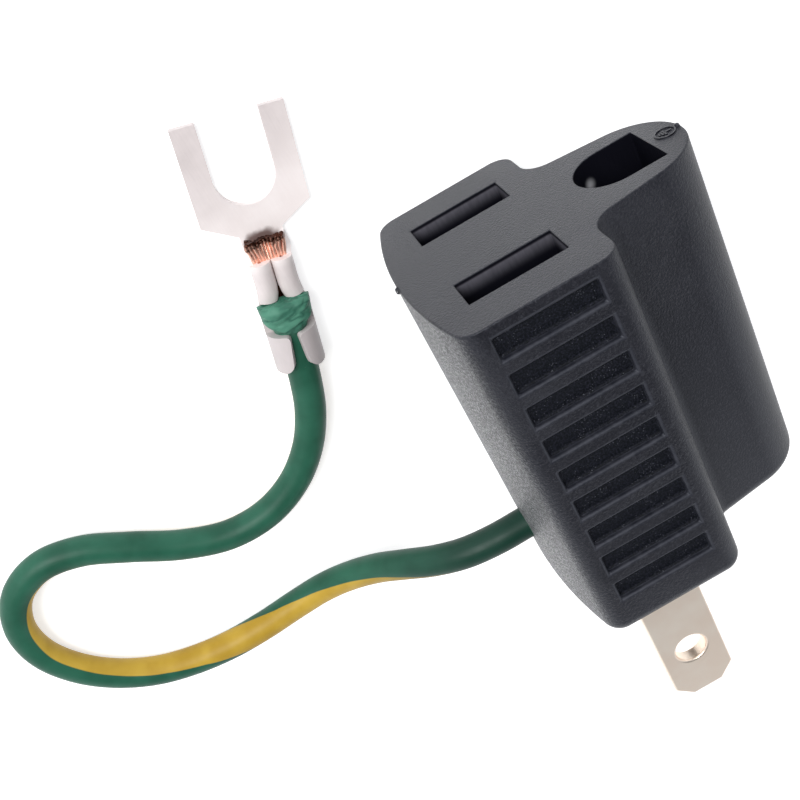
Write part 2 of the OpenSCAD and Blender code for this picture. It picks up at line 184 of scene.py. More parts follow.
def fade(value, low, high):
    """0 below low, 1 above high, eased between; low may be the larger one, which turns it round."""
    flip = low > high
    eased = value.node("MapRange", {"interpolation_type": "SMOOTHSTEP"},
                       {"Value": value, "From Min": min(low, high), "From Max": max(low, high)})
    return 1 - eased if flip else eased


def tint(mask, dark, light):
    """One colour where the mask is 0 and the other where it is 1; a colour may itself be a Shade."""
    full = [c if isinstance(c, Shade) else (*c, 1) for c in (dark, light)]
    return mask.node("Mix", {"data_type": "RGBA"}, {0: mask, 6: full[0], 7: full[1]}, out=2)


def mottle(place, scale, detail=2.0, rough=0.5):
    return place.node("TexNoise", None, {"Vector": place, "Scale": scale, "Detail": detail, "Roughness": rough})


def stretched(place, scales):
    return place.node("Mapping", None, {"Vector": place, "Scale": scales})


def part_of(place, axis):
    """One coordinate of a place, in millimetres: 0 for X, 1 for Y, 2 for Z."""
    return place.node("SeparateXYZ", None, {0: place}, out=axis) * (1 / MM)


def relief(height, depth, strength=1.0, under=None):
    """A bump of that depth in millimetres, laid over another one where that is given."""
    sockets = {"Height": height, "Distance": depth * MM, "Strength": strength}
    if under:
        sockets["Normal"] = under
    return height.node("Bump", None, sockets)


def finish(name, fixed, build):
    """A material: fixed numbers go on the shader's own sockets, and build gives the ones that vary."""
    material = bpy.data.materials.new(name)
    material.use_nodes = True
    shader = material.node_tree.nodes["Principled BSDF"]
    for socket, value in fixed.items():
        shader.inputs[socket].default_value = value
    for socket, value in build(Shade(material.node_tree)).items():
        material.node_tree.links.new(value.socket, shader.inputs[socket])
    return material


GREEN_DEEP, GREEN_PALE = (0.010, 0.078, 0.045), (0.022, 0.122, 0.074)
YELLOW_DEEP, YELLOW_PALE = (0.44, 0.27, 0.025), (0.58, 0.38, 0.05)


def stretched_insulation(start):
    """Where the crimp squeezes the insulation up, it is stretched paler, with painted shade in its creases."""
    place = start.node("TexCoord", out="Object")
    drift = mottle(place, 700, 3)
    creases = fade(abs(mottle(stretched(place, (300, 900, 500)), 1.0, 2) - 0.5), 0.0, 0.09)
    colour = tint(fade(drift, 0.3, 0.7), (0.048, 0.18, 0.12), (0.08, 0.245, 0.168))
    # Painted shade: the creases get a darker green.
    return {"Base Color": tint(creases, (0.034, 0.14, 0.094), colour),
            "Roughness": 0.5 + 0.1 * drift, "Normal": relief(creases, 0.05, 0.6)}


def insulation(start, striped):
    """Flexible insulation: soft colour drift, fine lines drawn along it and, on the free lead, the stripe and a
    painted shade near the body.
    """
    place = start.node("TexCoord", out="Object")
    drift = mottle(place, 240, 3)
    colour = tint(fade(drift, 0.3, 0.7), GREEN_DEEP, GREEN_PALE)
    grain = mottle(place, 5200, 2)
    if striped:
        across = start.node("SeparateXYZ", None, {0: start.node("TexCoord", out="UV")}, out=0)
        along = start.node("SeparateXYZ", None, {0: start.node("TexCoord", out="UV")}, out=1)
        wander = (mottle(place, 160, 1) - 0.5) * 0.03
        off_centre = abs(across - 0.5) + wander
        stripe = fade(off_centre, stripe_half + 0.006, stripe_half - 0.006)
        colour = tint(stripe, colour, tint(fade(drift, 0.3, 0.7), YELLOW_DEEP, YELLOW_PALE))
        # Painted shade: the free lead is darkened over its first 24 mm, where the body's shadow falls on it.
        colour = tint(0.85 * fade(along * (math.tau * lead_radius), 24, 1), colour, (0.003, 0.024, 0.016))
        lines = start.node("CombineXYZ", None, {0: across * 60, 1: along * 0.4})
        grain = grain * 0.4 + mottle(lines, 1.0, 2) * 0.6
    return {
        "Base Color": colour,
        "Roughness": 0.36 + 0.2 * mottle(place, 900, 3),
        "Normal": relief(grain, 0.02, 0.6),
    }


SOFT_PVC = {"IOR": 1.5, "Specular IOR Level": 0.28}
striped_insulation = finish("striped_insulation", SOFT_PVC, lambda s: insulation(s, True))
plain_insulation = finish("plain_insulation", SOFT_PVC, lambda s: insulation(s, False))
squeezed_insulation = finish("squeezed_insulation", SOFT_PVC, stretched_insulation)

fork_heading = Vector((math.cos(fork_turn), math.sin(fork_turn), 0))
lead_end_point = (fork_neck + Vector((0, 0, fork_sheet + lead_radius)) + fork_heading * fork_tail) * MM
knots = [Vector(p) for p in LEAD_ROUTE] + [lead_end_point]
lead_line = smooth_line(knots, Vector((-0.003, 0, 0)), fork_heading * 0.003, 8)
lead_rings, lead_run, ring_turn = [], [0.0], []
for i, centre in enumerate(lead_line):
    ahead = (lead_line[min(i + 1, len(lead_line) - 1)] - lead_line[max(i - 1, 0)]).normalized()
    if i in (0, len(lead_line) - 1):
        ahead = Vector((-1, 0, 0)) if i == 0 else fork_heading
    else:
        lead_run.append(lead_run[-1] + (centre - lead_line[i - 1]).length / MM)
    if i == len(lead_line) - 1:
        lead_run.append(lead_run[-1] + (centre - lead_line[i - 1]).length / MM)
    outer = Vector((0, 0, 1)).cross(ahead).normalized()
    top = ahead.cross(outer)
    ring_turn.append(math.radians(between(STRIPE_TURN, lead_run[i], eased=False)))
    lead_rings.append([centre / MM + (top * math.cos(a) + outer * math.sin(a)) * lead_radius
                       for a in (math.tau * k / lead_sides for k in range(lead_sides))])
earth_lead = mesh_piece("earth_lead_wire", *skin(lead_rings))
stripe_map = earth_lead.data.uv_layers.new(name="stripe_map")
for polygon in earth_lead.data.polygons:
    corners = []
    for loop in polygon.loop_indices:
        ring, side = divmod(earth_lead.data.loops[loop].vertex_index, lead_sides)
        corners.append((loop, ring, side))
    wraps = max(c[2] for c in corners) - min(c[2] for c in corners) > lead_sides / 2 and len(corners) == 4
    across = [(side + (lead_sides if wraps and side == 0 else 0)) / lead_sides - ring_turn[ring] / math.tau
              for _, ring, side in corners]
    whole = math.floor(sum(across) / len(across) + 0.5)
    for (loop, ring, side), u in zip(corners, across):
        stripe_map.data[loop].uv = (u - whole + 0.5, lead_run[ring] / (math.tau * lead_radius))
earth_lead.data.materials.append(striped_insulation)
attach(earth_lead, "root")
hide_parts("earth_lead")


# The body is moulded over the inner carrier in one shot of black plastic with a spark-eroded grain: a block with
# a necked lobe for the earth pin, a rounded foot, nine sunk grip pockets on each broad face, and the openings.
body_low, body_high = (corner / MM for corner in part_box("body_moulding"))
face_y, plug_y = body_high.y, body_low.y
mid_z = (body_low.z + body_high.z) / 2
half_thick = (body_high.z - body_low.z) / 2
block_side, corner_radius, crown_radius = 6.8, 1.8, 45
lobe_radius, lobe_taper, neck_radius = 5.5, math.radians(9.5), 2.3
foot_radius, face_edge = 1.5, 0.14
side_wall, face_wall, foot_wall = 1.6, 4, 2
slot_pitch, slot_length, slot_width = 12.7, 8.4, 3.8
earth_x, earth_width, earth_flat = 11.9, 6.6, 3.3
pocket_count, pocket_pitch, first_pocket = 9, 3.35, 1.2
pocket_length, pocket_height, pocket_depth = 8.7, 1.95, 0.6
lead_exit_y = plug_y + 6.2
blade_width, blade_thick = 6.35, 1.5


def arc(x, y, radius, start, end, steps):
    angles = [start + (end - start) * i / steps for i in range(steps + 1)]
    return [(x + radius * math.cos(a), y + radius * math.sin(a)) for a in angles]


def body_outline(inset, fine=1):
    """The face outline, drawn in by inset: lobe tip, necks, block corners and the bulge of the wire end."""
    half, side = half_thick - inset, block_side - inset
    crown, corner = crown_radius - inset, max(corner_radius - inset, 0.05)
    crown_x, tip_x = crown_radius + body_low.x, body_high.x - lobe_radius
    lobe, neck = lobe_radius - inset, neck_radius + inset
    corner_x = crown_x - math.sqrt((crown - corner) ** 2 - (half - corner) ** 2)
    turn = math.atan2(half - corner, corner_x - crown_x)
    neck_v = (lobe + neck - (side + neck - tip_x) * math.sin(lobe_taper)) / math.cos(lobe_taper)
    quarter = math.pi / 2
    upper = (arc(tip_x, 0, lobe, 0, quarter - lobe_taper, 20 * fine)
             + arc(side + neck, neck_v, neck, 3 * quarter - lobe_taper, math.pi, 12 * fine)
             + arc(side - corner, half - corner, corner, 0, quarter, 10 * fine)
             + arc(corner_x, half - corner, corner, quarter, turn, 10 * fine)
             + arc(crown_x, 0, crown, turn, math.pi, 12 * fine)[1:])
    return upper + [(x, -v) for x, v in reversed(upper[1:-1])]


def upright(shape, y_low, y_high):
    """A closed prism of a flat shape in X and Z, between two heights of the body."""
    return skin([[(x, y, mid_z + v) for x, v in shape] for y in (y_high, y_low)])


def bar(low, high):
    """The points and faces of a block between two corners."""
    (x0, y0, z0), (x1, y1, z1) = low, high
    return upright([(x0, z0 - mid_z), (x1, z0 - mid_z), (x1, z1 - mid_z), (x0, z1 - mid_z)], y0, y1)


def together(shells):
    """Several closed shells as one list of points and faces."""
    points, faces = [], []
    for more, rims in shells:
        faces += [tuple(i + len(points) for i in rim) for rim in rims]
        points += more
    return points, faces


def settle(piece):
    """Makes the piece's modifiers part of its mesh, and takes them off."""
    shaped = bpy.data.meshes.new_from_object(piece.evaluated_get(bpy.context.evaluated_depsgraph_get()))
    piece.modifiers.clear()
    spent, piece.data = piece.data, shaped
    bpy.data.meshes.remove(spent)
    return piece


def carve(piece, cutter):
    """Cuts one object out of another; the walls of the cut take the cutter's material."""
    cut = piece.modifiers.new("cut", "BOOLEAN")
    cut.operation, cut.solver, cut.object = "DIFFERENCE", "EXACT", cutter
    cut.material_mode = "TRANSFER"
    bpy.context.view_layer.update()
    settle(piece)
    bpy.data.objects.remove(cutter)


def round_edges(piece, width, segments=2, angle=32, share=None):
    """Rounds every edge sharper than the angle; share may give some places only a part of the width."""
    work = bmesh.new()
    work.from_mesh(piece.data)
    weight = work.edges.layers.float.new("bevel_weight_edge")
    for edge in work.edges:
        if len(edge.link_faces) == 2 and edge.calc_face_angle() > math.radians(angle):
            middle = (edge.verts[0].co + edge.verts[1].co) / 2 / MM
            edge[weight] = share(middle) if share else 1.0
    work.to_mesh(piece.data)
    work.free()
    edges = piece.modifiers.new("edges", "BEVEL")
    edges.width, edges.segments = width * MM, segments
    edges.limit_method = "WEIGHT"
    edges.use_clamp_overlap = share is None
    edges.harden_normals = True
    edges.material = len(piece.data.materials) - 1
    settle(piece)


BLACK_PLASTIC = {"IOR": 1.5, "Specular IOR Level": 0.44, "Specular Tint": (0.86, 0.89, 1.0, 1)}
MOULD_DARK, MOULD_PALE = (0.004, 0.004, 0.007), (0.008, 0.008, 0.012)
POCKET_DARK, POCKET_PALE = (0.001, 0.002, 0.004), (0.014, 0.015, 0.024)


def mould_grain(start):
    """Spark-eroded grain, a fine sand: coarsest at the wire end and the socket face, all but gone at the foot; the
    wire end has a painted sheen.
    """
    place = start.node("TexCoord", out="Object")
    x, y = part_of(place, 0), part_of(place, 1)
    sand, pits = mottle(place, 4700, 2, 0.6), mottle(place, 9500, 3, 0.7)
    worn = mottle(place, 170, 3)
    wire_end = fade(x, body_low.x + 2.2, body_low.x + 0.3) * fade(y, face_y - 0.05, face_y - 0.3)
    coarse = 0.13 + 0.3 * fade(y, -4, 12) + 1.6 * wire_end + 0.25 * fade(mottle(place, 90, 1), 0.45, 0.6)
    plain = tint(fade(worn, 0.3, 0.75), MOULD_DARK, MOULD_PALE)
    plain = tint(0.7 * fade(0.5 * pits + 0.5 * sand, 0.48, 0.62), plain, (0.026, 0.026, 0.033))
    # Painted sheen: the wire end is painted paler and its grain's specks near white, for the light it catches at a
    # grazing angle.
    plain = tint(wire_end, plain, (0.03, 0.03, 0.032))
    return {
        "Base Color": tint(wire_end * fade(0.5 * pits + 0.5 * sand, 0.47, 0.6), plain, (0.45, 0.45, 0.46)),
        "Roughness": 0.26 + 0.08 * worn + 0.1 * pits,
        "Normal": relief(pits * coarse, 0.08, 1.0, relief(sand * coarse, 0.16, 1.0)),
    }


def pocket_grain(start):
    """The pocket floors were eroded coarser, so they stay dark and bluish, with small painted glints."""
    place = start.node("TexCoord", out="Object")
    specks = mottle(place, 6400, 4, 0.7)
    points = place.node("TexVoronoi", None, {"Vector": place, "Scale": 5200})
    # Painted glints: small bright points on the pocket floors.
    lit = fade(points, 0.25, 0.08) * fade(mottle(place, 1100, 2), 0.42, 0.62)
    floor = tint(fade(specks, 0.42, 0.66), POCKET_DARK, POCKET_PALE)
    return {
        "Base Color": tint(lit, floor, (0.11, 0.115, 0.135)),
        "Roughness": 0.5 + 0.3 * specks,
        "Normal": relief(specks, 0.05, 0.8),
    }


def opening_wall(start):
    """Walls of the slots and holes, drawn smooth by the mould's cores: dark at the lip, then in the slots painted
    light that fades to black deeper down, and a painted highlight in the earth hole.
    """
    place = start.node("TexCoord", out="Object")
    drawn = mottle(stretched(place, (3600, 700, 3600)), 1.0, 3)
    depth = face_y - part_of(place, 1)
    # Painted light: the slot walls are paler just below the lip and turn black with depth, as light falling into them
    # would.
    pale = fade(depth, 0.2, 0.42) * fade(depth, 1.7, 0.1) * fade(part_of(place, 0), 7, 6)
    wall = tint(pale * (0.7 + 0.6 * drawn), (0.004, 0.004, 0.007), (0.10, 0.097, 0.115))
    # Painted highlight: a pale spot on the earth hole's wall stands in for a glint.
    glint_distance = place.node("VectorMath", {"operation": "DISTANCE"}, {0: place, 1: Vector((10.4, 14.8, 9.5)) * MM}, out=1)
    wall = tint(fade(glint_distance * (1 / MM), 0.8, 0.0), wall, (0.4, 0.4, 0.42))
    return {"Base Color": wall, "Roughness": 0.42 + 0.2 * drawn, "Normal": relief(drawn, 0.03, 0.6)}


def painted_rim_sheen(start):
    """The rims and walls of the grip pockets are painted paler, a painted sheen for the light their rounded edges
    catch.
    """
    place = start.node("TexCoord", out="Object")
    sheen_mottle = mottle(place, 1500, 3)
    return {
        "Base Color": tint(fade(sheen_mottle, 0.3, 0.7), (0.013, 0.014, 0.020), (0.027, 0.028, 0.036)),
        "Roughness": 0.35 + 0.25 * sheen_mottle,
        "Normal": relief(mottle(place, 7000, 2), 0.02, 0.6),
    }


black_moulding = finish("black_moulding", BLACK_PLASTIC, mould_grain)
grip_floor = finish("grip_floor", {"IOR": 1.5, "Specular IOR Level": 0.17}, pocket_grain)
core_wall = finish("core_wall", BLACK_PLASTIC | {"Specular IOR Level": 0.08}, opening_wall)
rim_sheen = finish("rim_sheen", BLACK_PLASTIC, painted_rim_sheen)

edge_angles = [math.pi / 2 * k / 5 for k in range(6)]
foot_angles = [math.pi / 2 * k / 9 for k in range(10)]
levels = [(face_y - face_edge * (1 - math.cos(a)), face_edge * (1 - math.sin(a))) for a in edge_angles]
levels += [(plug_y + foot_radius * (1 - math.sin(a)), foot_radius * (1 - math.cos(a))) for a in foot_angles]
body = mesh_piece("moulding", *skin([[(x, y, mid_z + v) for x, v in body_outline(inset)] for y, inset in levels]))
body.data.materials.append(black_moulding)

cavity = mesh_piece("cavity", *upright(body_outline(side_wall), plug_y + foot_wall, face_y - face_wall))
cavity.data.materials.append(core_wall)
carve(body, cavity)

earth_shape = (arc(earth_x, 0, earth_width / 2, math.pi / 2, 3 * math.pi / 2, 32)
               + [(earth_x + earth_flat, -earth_width / 2), (earth_x + earth_flat, earth_width / 2)])
openings = [upright(earth_shape, face_y - face_wall - 0.5, face_y + 1)]
lead_hole = [[(x, lead_exit_y + lead_radius * math.cos(a), mid_z + lead_radius * math.sin(a))
              for a in (math.tau * k / 40 for k in range(40))] for x in (body_low.x - 1, body_low.x + side_wall + 0.5)]
openings.append(skin(lead_hole))
for side in (-1, 1):
    z = mid_z + side * slot_pitch / 2
    openings.append(bar((-slot_length / 2, face_y - face_wall - 0.5, z - slot_width / 2),
                        (slot_length / 2, face_y + 1, z + slot_width / 2)))
    openings.append(bar((-blade_width / 2, plug_y - 1, z - blade_thick / 2),
                        (blade_width / 2, plug_y + foot_wall + 0.5, z + blade_thick / 2)))
cores = mesh_piece("cores", *together(openings))
cores.data.materials.append(core_wall)
carve(body, cores)


class Tree:
    """A Geometry Nodes tree in the making, with named inputs for its sizes."""

    def __init__(self, name, sizes):
        self.tree = bpy.data.node_groups.new(name, "GeometryNodeTree")
        for label, kind in (("Geometry", "NodeSocketGeometry"), *((s, sizes[s][0]) for s in sizes)):
            self.tree.interface.new_socket(label, in_out="INPUT", socket_type=kind)
        self.tree.interface.new_socket("Geometry", in_out="OUTPUT", socket_type="NodeSocketGeometry")
        self.sizes = sizes
        self.inputs = self.tree.nodes.new("NodeGroupInput").outputs

    def add(self, kind, settings=None, sockets=None, out=0):
        made = self.tree.nodes.new(kind)
        for key, value in (settings or {}).items():
            setattr(made, key, value)
        for key, value in (sockets or {}).items():
            if isinstance(value, bpy.types.NodeSocket):
                self.tree.links.new(value, made.inputs[key])
            else:
                made.inputs[key].default_value = value
        return made.outputs[out]

    def grow(self, name, geometry, material):
        """Realizes what was built, gives it its material, and returns it as a plain piece."""
        real = self.add("GeometryNodeRealizeInstances", None, {0: geometry})
        dressed = self.add("GeometryNodeSetMaterial", None, {"Geometry": real, "Material": material})
        self.tree.links.new(dressed, self.tree.nodes.new("NodeGroupOutput").inputs[0])
        piece = bpy.data.objects.new(name, bpy.data.meshes.new(name))
        bpy.context.scene.collection.objects.link(piece)
        grown = piece.modifiers.new("grown", "NODES")
        grown.node_group = self.tree
        for item in self.tree.interface.items_tree:
            if item.in_out == "INPUT" and item.name in self.sizes:
                grown[item.identifier] = self.sizes[item.name][1]
        bpy.context.view_layer.update()
        return settle(piece)


NUMBER, WHOLE, PLACE = "NodeSocketFloat", "NodeSocketInt", "NodeSocketVector"
for face_z in (body_low.z, body_high.z):
    grip = Tree("grip_pockets", {
        "Pockets": (WHOLE, pocket_count),
        "First": (PLACE, (0, (face_y - first_pocket - pocket_height / 2) * MM, face_z * MM)),
        "Step": (PLACE, (0, -pocket_pitch * MM, 0)),
        "Pocket": (PLACE, (pocket_length * MM, pocket_height * MM, 2 * pocket_depth * MM)),
    })
    row = grip.add("GeometryNodeMeshLine", {"mode": "OFFSET"},
                   {"Count": grip.inputs["Pockets"], "Start Location": grip.inputs["First"],
                    "Offset": grip.inputs["Step"]})
    block = grip.add("GeometryNodeMeshCube", None, {"Size": grip.inputs["Pocket"]})
    pockets = grip.add("GeometryNodeInstanceOnPoints", None, {"Points": row, "Instance": block})
    carve(body, grip.grow("pockets", pockets, grip_floor))


def pocket_share(place):
    """1 in and around the grip pockets, whose rims are rounded the widest and keep the painted sheen, and less at the
    crisp openings.
    """
    deep = half_thick - abs(place.z - mid_z)
    inside = deep < pocket_depth + 0.2 and abs(place.x) < pocket_length / 2 + 0.4
    return 1.0 if inside and plug_y + 1 < place.y < face_y - first_pocket / 2 else 0.4


body.data.materials.append(rim_sheen)
round_edges(body, 0.28, segments=3, share=pocket_share)
coats = list(body.data.materials)
# Painted sheen: the pockets' walls and rounded rims keep the paler rim_sheen finish; other rounded edges go back to
# the core walls or the grain, and the foot of a pocket's wall takes its floor's finish.
for polygon in body.data.polygons:
    place, coat = polygon.center / MM, coats[polygon.material_index]
    if coat == grip_floor and abs(polygon.normal.z) < 0.5:
        coat = rim_sheen
    elif coat == rim_sheen and pocket_share(place) < 1:
        coat = core_wall if place.y < face_y - 0.05 else black_moulding
    elif coat == rim_sheen and half_thick - abs(place.z - mid_z) > pocket_depth * 0.7:
        coat = grip_floor
    polygon.material_index = coats.index(coat)


# Two specks of flash stand where the mould's halves met at the socket face, and beside the earth pin's hole the
# lobe carries the common sign for earth, raised by a hair. The rest of the face is left bare.
flash_specks = [((body_low.x - 0.03, face_y - 0.25, mid_z), 0.34), ((body_high.x - 0.22, face_y - 0.02, mid_z), 0.3)]
sign_centre_x = (body_high.x + earth_x + earth_flat) / 2 + 0.1
sign_radius, sign_line, sign_height = 0.92, 0.15, 0.09


def speck(centre, size):
    """A torn flake of flash: a small lump with an uneven outline."""
    rings = []
    for level in (-1.0, -0.5, 0.0, 0.5, 1.0):
        reach = size * math.sqrt(max(0.02, 1 - level * level))
        ring = []
        for k in range(10):
            a = math.tau * k / 10
            torn = 1 + 0.5 * noise.noise(Vector((math.cos(a) * 2.1, math.sin(a) * 2.1, level * 3 + centre[0])))
            ring.append((centre[0] + reach * 0.7 * torn * math.cos(a), centre[1] + reach * torn * math.sin(a),
                         centre[2] + level * size * 0.55))
        rings.append(ring)
    return skin(rings)


def earth_sign():
    """The sign for earth: a stem and three bars that grow shorter, inside a ring."""
    low, high = face_y - 0.05, face_y + sign_height
    turns = [math.tau * k / 40 for k in range(41)]
    rim = [[(sign_centre_x + r * math.cos(a), y, mid_z + r * math.sin(a))
            for r, y in ((sign_radius, low), (sign_radius, high), (sign_radius - sign_line, high),
                         (sign_radius - sign_line, low))] for a in turns[:-1]]
    size = len(rim[0])
    points = [p for ring in rim for p in ring]
    faces = [(j * size + i, j * size + (i + 1) % size, (j + 1) % len(rim) * size + (i + 1) % size,
              (j + 1) % len(rim) * size + i) for j in range(len(rim)) for i in range(size)]
    shells = [(points, faces)]
    stem = sign_line / 2
    shells.append(bar((sign_centre_x - 0.05, low, mid_z - stem), (sign_centre_x + 0.55, high, mid_z + stem)))
    for back, half in ((0.0, 0.46), (0.22, 0.3), (0.44, 0.15)):
        x = sign_centre_x - 0.05 - back
        shells.append(bar((x - stem, low, mid_z - half), (x + stem, high, mid_z + half)))
    return shells


trim = mesh_piece("flash_and_earth_sign", *together([speck(*s) for s in flash_specks] + earth_sign()))
trim.data.materials.append(black_moulding)
trim.data.polygons.foreach_set("use_smooth", [False] * len(trim.data.polygons))
for piece in (body, trim):
    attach(piece, "root")
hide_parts("body_moulding")


# Inside the moulding sit the insulating carrier and its base, the brass jaws with their rivets, the sprung sleeve
# for the earth pin and the lead crimped to it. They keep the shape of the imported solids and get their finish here.
def carrier_plastic(start):
    place = start.node("TexCoord", out="Object")
    flow = mottle(place, 600, 3)
    return {"Base Color": tint(flow, (0.01, 0.01, 0.012), (0.022, 0.022, 0.026)),
            "Roughness": 0.4 + 0.2 * flow, "Normal": relief(mottle(place, 4000, 2), 0.02, 0.4)}


def spring_brass(start):
    place = start.node("TexCoord", out="Object")
    rolled = mottle(stretched(place, (6000, 500, 6000)), 1.0, 3)
    tone_mask = mottle(place, 500, 4)
    return {"Base Color": tint(tone_mask, (0.52, 0.34, 0.13), (0.78, 0.57, 0.28)),
            "Roughness": 0.24 + 0.2 * tone_mask, "Normal": relief(rolled, 0.006, 0.4)}


def along_fork(place):
    """Distance in millimetres along the fork from its neck, towards the prongs."""
    reach = place.node("VectorMath", {"operation": "DOT_PRODUCT"}, {0: place, 1: fork_heading / MM}, out=1)
    return reach - fork_neck.dot(fork_heading)


def bare_copper(start):
    """Bright copper that has gone brown in spots, darkest at the cut ends of the strands, with painted shadow where
    they run inside the barrel.
    """
    place = start.node("TexCoord", out="Object")
    burnt = mottle(place, 4200, 3, 0.7)
    ends = fade(along_fork(place) + (burnt - 0.5) * 2.4, -1.2, -0.4)
    bright = tint(fade(burnt, 0.28, 0.42), (0.32, 0.10, 0.06), (0.98, 0.58, 0.45))
    # Painted shadow: the strands are darkened where they run back inside the barrel.
    ends = ends + fade(along_fork(place), -2.8, -4.2)
    return {"Base Color": tint(ends, bright, (0.06, 0.018, 0.01)),
            "Roughness": 0.5 - 0.2 * burnt, "Normal": relief(mottle(place, 9000, 2), 0.01, 0.5)}


carrier_black = finish("carrier_black", {"IOR": 1.5}, carrier_plastic)
brass = finish("brass", {"Metallic": 1.0}, spring_brass)
copper = finish("copper", {"Metallic": 1.0}, bare_copper)
for material, names in (
    (carrier_black, ("contact_carrier", "carrier_base")),
    (brass, ("line_contact", "neutral_contact", "contact_rivets", "earth_contact")),
    (copper, ("earth_strands",)),
    (plain_insulation, ("inner_lead",)),
):
    for name in names:
        nodes[name].data.materials.clear()
        nodes[name].data.materials.append(material)


# The blades are blanked from brass strip, coined round their edges and nickel plated, with a hole near the tip.
# A shouldered tang goes up into the body, where the jaw's tail is riveted to it.
blade_length, tang_length, shoulder_width, shoulder_height = 18, 10, 8, 1.2
tip_cut, hole_radius, hole_drop, rivet_radius = 1.6, 1.6, 11.9, 1
base_top = plug_y + foot_wall + 2.5


def plated_strip(start):
    """Satin nickel over brass: fine drawing lines along the blade, and faint rubbed marks."""
    place = start.node("TexCoord", out="Object")
    drawn = mottle(stretched(place, (9000, 260, 9000)), 1.0, 3, 0.6)
    cloud = mottle(place, 260, 3)
    return {"Base Color": tint(fade(cloud, 0.3, 0.75), (0.96, 0.81, 0.68), (1.0, 0.89, 0.77)),
            "Roughness": 0.3 + 0.16 * cloud + 0.06 * drawn, "Normal": relief(drawn, 0.004, 0.5)}


nickel = finish("nickel", {"Metallic": 1.0}, plated_strip)
half_blade, half_shoulder = blade_width / 2, shoulder_width / 2
tip_y, tang_top = plug_y - blade_length, plug_y + tang_length
blade_shape = [(half_blade, tip_y + tip_cut), (half_blade, base_top), (half_shoulder, base_top),
               (half_shoulder, base_top + shoulder_height), (half_blade, base_top + shoulder_height),
               (half_blade, tang_top)]
blade_shape = ([(half_blade - tip_cut, tip_y)] + blade_shape + [(-x, y) for x, y in reversed(blade_shape)]
               + [(tip_cut - half_blade, tip_y)])
for name, side in (("line_blade", 1), ("neutral_blade", -1)):
    z = mid_z + side * slot_pitch / 2
    blade = mesh_piece(name + "_plated", *skin([[(x, y, z + h) for x, y in blade_shape]
                                                for h in (-blade_thick / 2, blade_thick / 2)]), smooth=False)
    blade.data.materials.append(nickel)
    drills = []
    for y, radius in ((plug_y - hole_drop, hole_radius), (tang_top - 2.6, rivet_radius)):
        drills.append(skin([[(radius * math.cos(a), y + radius * math.sin(a), z + h)
                             for a in (math.tau * k / 56 for k in range(56))] for h in (-2, 2)]))
    drill = mesh_piece("drill", *together(drills))
    drill.data.materials.append(nickel)
    carve(blade, drill)
    for polygon in blade.data.polygons:
        polygon.use_smooth = True
    round_edges(blade, 0.24, segments=3, angle=30)
    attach(blade, "root")
    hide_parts(name)


# The fork is stamped from tinned sheet and folded: a flat forked tongue, a trough behind it, two wings rolled down
# on the bare strands, an open window, and two round-ended wings that hug the insulation.
neck_half, fork_half, shoulder, tongue_length, fork_web, fork_gap = 1.95, 4.9, 1.7, 10.4, 2.6, 5.4
barrel_front, barrel_back = -2.2, -5.8
grip_front = barrel_back - 2.9
trough_half = 1.9
lead_height = fork_sheet + lead_radius
lobe_height = 2.01
roll_radius = neck_half / 2 - fork_sheet / 2


def at_fork(point):
    """A point given along, across and above the terminal, in the part's own frame."""
    along, across, above = point
    return fork_neck + fork_heading * along + Vector((-fork_heading.y, fork_heading.x, 0)) * across \
        + Vector((0, 0, above))


def trough(along, reach):
    """Middle of the sheet across the trough, at a distance along it: reach runs from -1 to 1."""
    into_barrel = between([(-barrel_front * 0.1, 0.0), (-barrel_front, 1.0)], -along)
    into_window = between([(-barrel_back, 0.0), (-barrel_back + 0.6, 1.0)], -along)
    barrel_half = neck_half - fork_sheet / 2
    radius = barrel_half + (trough_half - barrel_half) * into_window
    bend = max(into_barrel, 0.001) / radius
    half_length = neck_half + (math.pi / 2 * barrel_half - neck_half) * into_barrel
    half_length += (math.pi / 2 * trough_half - math.pi / 2 * barrel_half) * into_window
    turned = reach * half_length * bend
    return (along, math.sin(turned) / bend, fork_sheet / 2 + (1 - math.cos(turned)) / bend)


stations = [0, -0.35, -0.8, -1.3, -1.8, barrel_front, -2.6, -3.2, -3.9, -4.6, -5.2, barrel_back, -6.0, -6.25, -6.5,
            -7.2, -8.0, grip_front, -9.2, -9.9, -10.6, -11.3, -11.9, fork_tail]
columns = [k / 7 for k in range(-7, 8)]
sheet_points, sheet_faces = [], []
for station in stations:
    sheet_points += [trough(station, reach) for reach in columns]
wide = len(columns)
for j in range(len(stations) - 1):
    for i in range(wide - 1):
        sheet_faces.append((j * wide + i, j * wide + i + 1, (j + 1) * wide + i + 1, (j + 1) * wide + i))


def add_wing(first, last, path, front, rear):
    """A wing on both sides of the trough, from its edge along a path, with its two free corners rounded."""
    turns = path[2]
    run = list(range(stations.index(first), stations.index(last) + 1))
    for side in (-1, 1):
        edge = 0 if side < 0 else wide - 1
        before = [j * wide + edge for j in run]
        for step in range(1, len(path[0])):
            left = path[1] * (1 - turns[step] / turns[-1])
            pull_front, pull_rear = (r - math.sqrt(max(0.0, r**2 - max(0.0, r - left) ** 2)) for r in (front, rear))
            row = []
            for j in run:
                share = (stations[j] - first) / (last - first)
                along = first - pull_front + share * (last - first + pull_front + pull_rear)
                across, above = path[0][step](share)
                row.append(len(sheet_points))
                sheet_points.append((along, side * across, above))
            for a in range(len(run) - 1):
                sheet_faces.append((before[a], before[a + 1], row[a + 1], row[a]))
            before = row


def roll_point(turn):
    """A point of the wing that is rolled down on the strands; the roll opens towards the window."""
    def place(share):
        opened = max(0.0, share - 0.55) / 0.45
        spread = 0.16 * opened * opened
        swing = turn * (1 - 0.24 * opened * opened)
        return (neck_half / 2 + spread + roll_radius * math.cos(swing) + 0.02,
                lobe_height + roll_radius * math.sin(swing))
    return place


